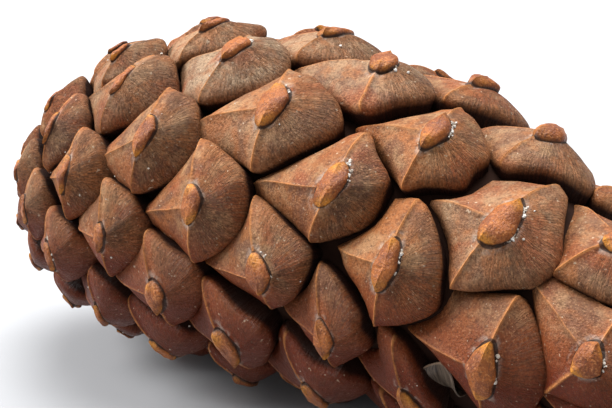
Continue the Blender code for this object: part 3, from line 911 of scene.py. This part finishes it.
wing_paper, tree, shader = new_material("wing_paper")
shape = attribute_of(tree, "wing")
stretched = add_node(tree, "ShaderNodeMapping", {"Vector": shape, "Scale": (7.0, 1.1, 1.0)}).outputs[0]
streaks = noise_of(tree, stretched, scale=1.0, detail=4.0, roughness=0.7, distortion=0.4)
pale_streaks = ramp_of(tree, streaks, 0.34, 0.62)
paper = blend_of(tree, pale_streaks, (0.026, 0.015, 0.010, 1.0), (0.150, 0.108, 0.076, 1.0))
edge = ramp_of(tree, parts_of(tree, shape)["Y"], -0.88, -0.97)
paper = blend_of(tree, combine(tree, "MULTIPLY", edge, 0.7), paper, (0.330, 0.220, 0.140, 1.0))
tree.links.new(paper, shader.inputs["Base Color"])
tree.links.new(ramp_of(tree, streaks, 0.3, 0.7, 0.38, 0.62), shader.inputs["Roughness"])
add_relief(tree, shader, streaks, strength=0.5, distance=0.0001)
wing.data.materials.append(wing_paper)
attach(wing, "root")


# The stub of stalk. The cone broke from its twig at the base, leaving a short stub, grown
# as one with the axis: thin ribbed bark round pale wood, torn across at the end.

STALK_RADIUS = 0.0024
STALK_ROOT_RADIUS = 0.0036
STALK_LENGTH = 0.0030
RIB_DEPTH = 0.10
TORN_INSET = 0.00035
TORN_DEPTH = 0.00030

bpy.ops.object.select_all(action="DESELECT")
bpy.ops.mesh.primitive_cone_add(vertices=32, radius1=STALK_RADIUS, radius2=STALK_ROOT_RADIUS,
                                depth=2.0 * STALK_LENGTH, end_fill_type="TRIFAN",
                                rotation=(0.0, math.radians(90.0), 0.0))
stalk = bpy.context.object
stalk.name = "stalk"
stalk.data.name = "stalk"
bpy.ops.object.transform_apply(location=False, rotation=True, scale=True)
bpy.ops.object.mode_set(mode="EDIT")
bpy.ops.mesh.select_all(action="SELECT")
bpy.ops.mesh.subdivide(number_cuts=5)
bpy.ops.object.mode_set(mode="OBJECT")
stalk_shape = get_points(stalk)
stalk_round = np.arctan2(stalk_shape[:, 2], stalk_shape[:, 1])
stalk_out = np.hypot(stalk_shape[:, 1], stalk_shape[:, 2])
ribs = np.array([noise.noise(Vector((2.6 * math.cos(a), 2.6 * math.sin(a), 90.0 * x)))
                 for a, x in zip(stalk_round, stalk_shape[:, 0])])
stalk_shape[:, 1:] *= (1.0 + RIB_DEPTH * ribs * np.clip(stalk_out / STALK_RADIUS, 0.0, 1.0))[:, None]
torn = np.array([noise.noise(Vector((1500.0 * y, 1500.0 * z, 4.0))) for y, z in stalk_shape[:, 1:]])
at_end = stalk_shape[:, 0] < -0.98 * STALK_LENGTH
stalk_shape[at_end, 0] += (TORN_INSET + TORN_DEPTH * torn)[at_end]
set_attribute(stalk, "stub", np.stack([stalk_out / STALK_RADIUS, at_end, 0.0 * stalk_out], axis=-1))
set_points(stalk, lay_down(stalk_shape + axis_points(np.array([-BASE_LENGTH]))[0]))
bpy.ops.object.shade_smooth_by_angle(angle=math.radians(40.0))

stalk_bark, tree, shader = new_material("stalk_bark")
place = add_node(tree, "ShaderNodeTexCoord").outputs["Object"]
stub_parts = parts_of(tree, attribute_of(tree, "stub"))
from_middle = stub_parts["X"]
at_tear = stub_parts["Y"]
along_grain = (500.0, 2600.0, 2600.0)
stretched = add_node(tree, "ShaderNodeMapping", {"Vector": place, "Scale": along_grain}).outputs[0]
fibres = noise_of(tree, stretched, scale=1.0, detail=4.0, roughness=0.7)
pale_fibres = ramp_of(tree, fibres, 0.36, 0.62)
bark = blend_of(tree, pale_fibres, (0.060, 0.026, 0.013, 1.0), (0.220, 0.105, 0.050, 1.0))
torn_grain = noise_of(tree, place, scale=2200.0)
torn_wood = blend_of(tree, torn_grain, (0.110, 0.052, 0.022, 1.0), (0.460, 0.270, 0.130, 1.0))
pith = ramp_of(tree, from_middle, 0.14, 0.24, 0.7, 0.0)
torn_wood = blend_of(tree, pith, torn_wood, (0.060, 0.030, 0.018, 1.0))
inside_bark = ramp_of(tree, from_middle, 0.80, 0.92, 1.0, 0.0)
bark = blend_of(tree, combine(tree, "MULTIPLY", inside_bark, at_tear), bark, torn_wood)
tree.links.new(bark, shader.inputs["Base Color"])
tree.links.new(ramp_of(tree, fibres, 0.3, 0.7, 0.70, 0.92), shader.inputs["Roughness"])
shader.inputs["Specular IOR Level"].default_value = 0.12
add_relief(tree, shader, fibres, strength=0.8, distance=0.00025)
stalk.data.materials.append(stalk_bark)
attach(stalk, "root")


# The place where it lies: a wide, plain white surface, in soft light from above and from
# the left, seen from where the photograph was taken.

bpy.ops.object.select_all(action="DESELECT")
bpy.ops.mesh.primitive_plane_add(size=4.0, location=(0.0, 0.0, 0.0))
floor = bpy.context.object
floor.name = "floor"
floor_white, tree, shader = new_material("floor_white")
shader.inputs["Base Color"].default_value = (0.372, 0.378, 0.390, 1.0)
shader.inputs["Roughness"].default_value = 0.9
shader.inputs["Specular IOR Level"].default_value = 0.1
floor.data.materials.append(floor_white)


def add_softbox(name, place, target, size, power):
    """Hang a square soft light that faces a point."""
    lamp = bpy.data.lights.new(name, "AREA")
    lamp.shape = "SQUARE"
    lamp.size = size
    lamp.energy = power
    box = bpy.data.objects.new(name, lamp)
    box.location = place
    box.rotation_euler = (Vector(target) - Vector(place)).to_track_quat("-Z", "Y").to_euler()
    bpy.context.scene.collection.objects.link(box)


CONE_MIDDLE = (0.0, 0.0, 0.01)
add_softbox("light_above", (-0.10, 0.25, 0.80), CONE_MIDDLE, size=0.60, power=14.6)
add_softbox("light_side", (-0.60, -0.25, 0.50), CONE_MIDDLE, size=0.40, power=9.8)

world = bpy.data.worlds.new("studio")
world.use_nodes = True
background = world.node_tree.nodes["Background"]
background.inputs["Color"].default_value = (0.97, 0.98, 1.0, 1.0)
background.inputs["Strength"].default_value = 0.50
bpy.context.scene.world = world
bpy.context.scene.view_settings.view_transform = "Standard"

camera = bpy.data.objects.new("camera", bpy.data.cameras.new("camera"))
camera.data.sensor_width = 36.0
camera.data.lens = 130.6
camera.data.clip_start = 0.005
camera.location = (0.1245974, -0.1487321, 0.1006427)
camera.rotation_euler = (1.18223, 0.07827, 0.70708)
bpy.context.scene.collection.objects.link(camera)
bpy.context.scene.camera = camera
